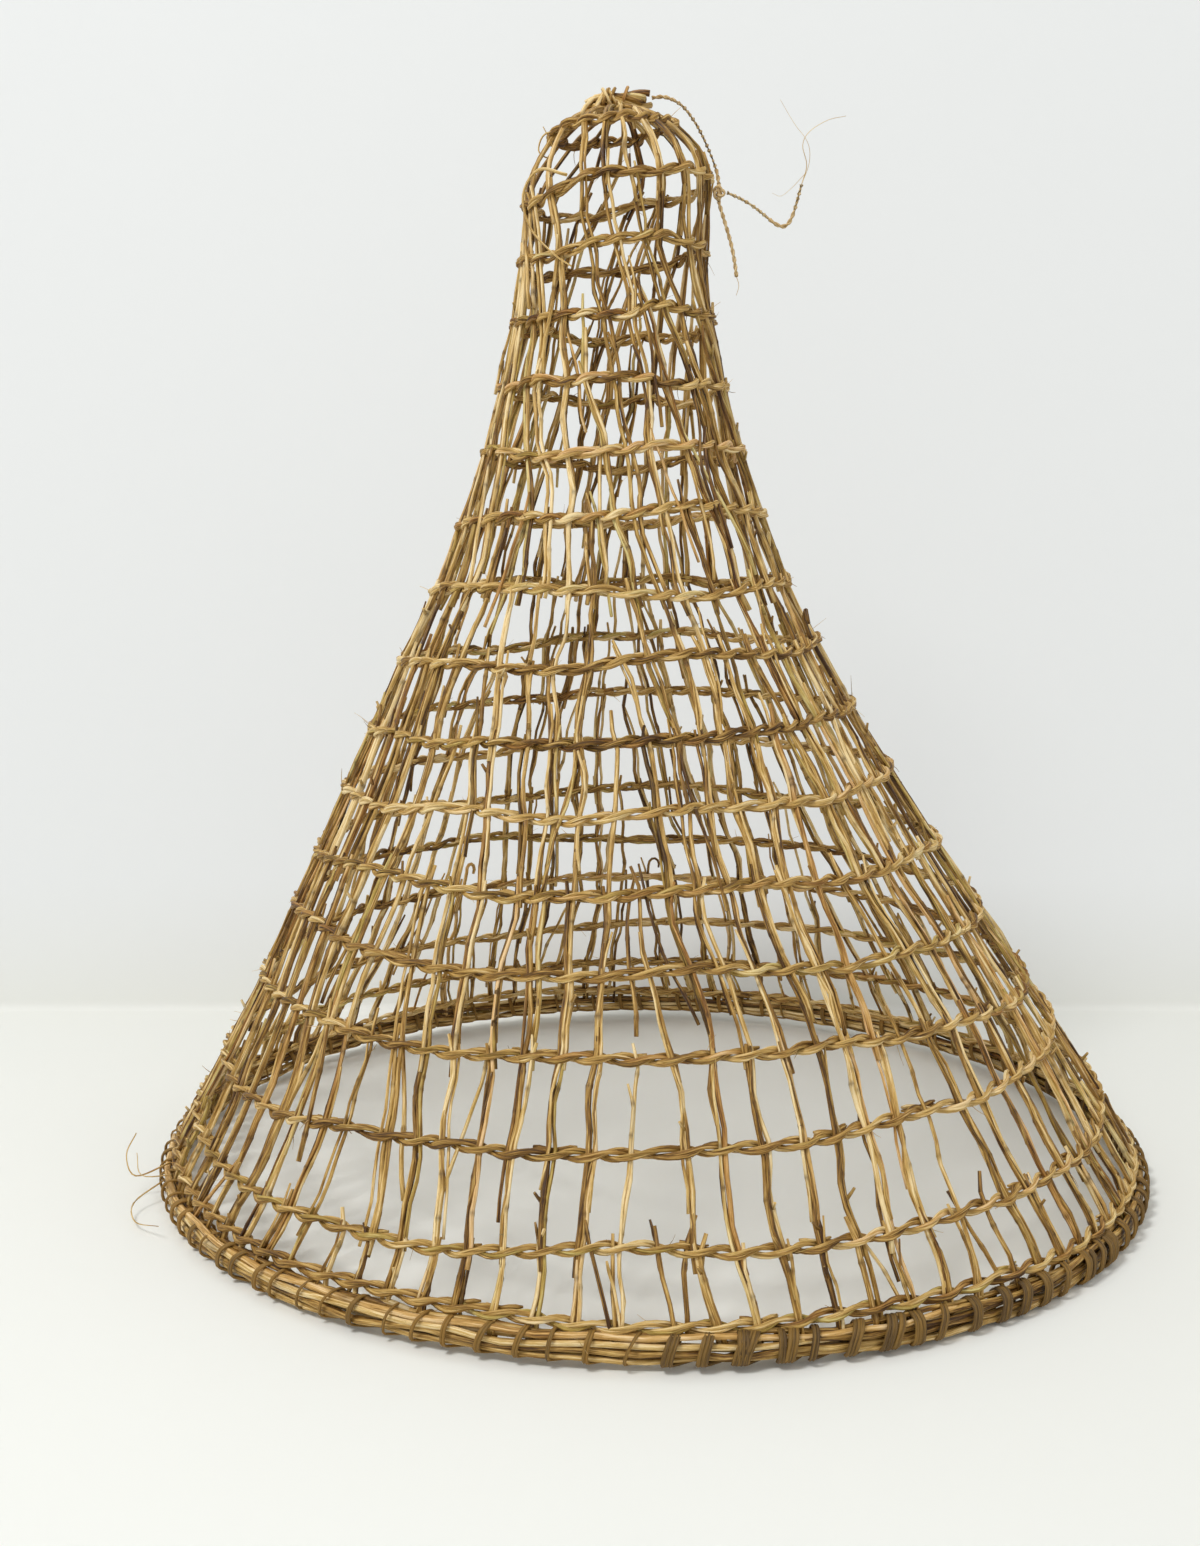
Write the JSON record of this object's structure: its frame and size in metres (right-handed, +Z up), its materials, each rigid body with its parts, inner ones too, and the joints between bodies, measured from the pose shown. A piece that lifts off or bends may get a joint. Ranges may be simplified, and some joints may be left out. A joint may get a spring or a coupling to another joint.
{
  "type": "openwork basket hat",
  "caption": "Tall conical openwork hat of plant stems held by rows of twining, with a narrow twisted neck, a tied crown and a lashed rim.",
  "frame": {"origin": "on the surface that the rim rests on, under the middle of the rim", "axes": "+Z up along the cone, +X to the right and -Y to the front of the hat as it stands"},
  "size_m": [0.4622, 0.4618, 0.4866],
  "materials": {
    "rib_stem": "dry split and peeled stems, pale tan with brown nodes",
    "weft_strand": "fibrous split stems, twisted, dull tan",
    "rim_stem": "dry whole stems, tan",
    "lashing_bark": "dark olive-brown bark strips, dull",
    "twisted_string": "two-ply twisted plant-fibre string"
  },
  "bodies": {
    "root": {"crown_ribs": "rib_stem", "neck_ribs": "rib_stem", "neck_ribs_added": "rib_stem", "skirt_ribs_08": "rib_stem", "skirt_ribs_09": "rib_stem", "skirt_ribs_10": "rib_stem", "skirt_ribs_12": "rib_stem", "skirt_ribs_14": "rib_stem", "skirt_ribs_16": "rib_stem", "twined_row_01": "weft_strand", "twined_row_02": "weft_strand", "twined_row_03": "weft_strand", "twined_row_04": "weft_strand", "twined_row_05": "weft_strand", "twined_row_06": "weft_strand", "twined_row_07": "weft_strand", "twined_row_08": "weft_strand", "twined_row_09": "weft_strand", "twined_row_10": "weft_strand", "twined_row_11": "weft_strand", "twined_row_12": "weft_strand", "twined_row_13": "weft_strand", "twined_row_14": "weft_strand", "twined_row_15": "weft_strand", "twined_row_16": "weft_strand", "twined_row_17": "weft_strand", "rim_outer_stems": "rim_stem", "rim_inner_stems": "rim_stem", "rim_lashing": "lashing_bark", "crown_bundle": "rib_stem", "crown_binding": "twisted_string", "crown_string": "twisted_string", "tie_knot": "twisted_string", "string_tail_short": "twisted_string", "string_tail_long": "twisted_string"}
  },
  "joints": []
}
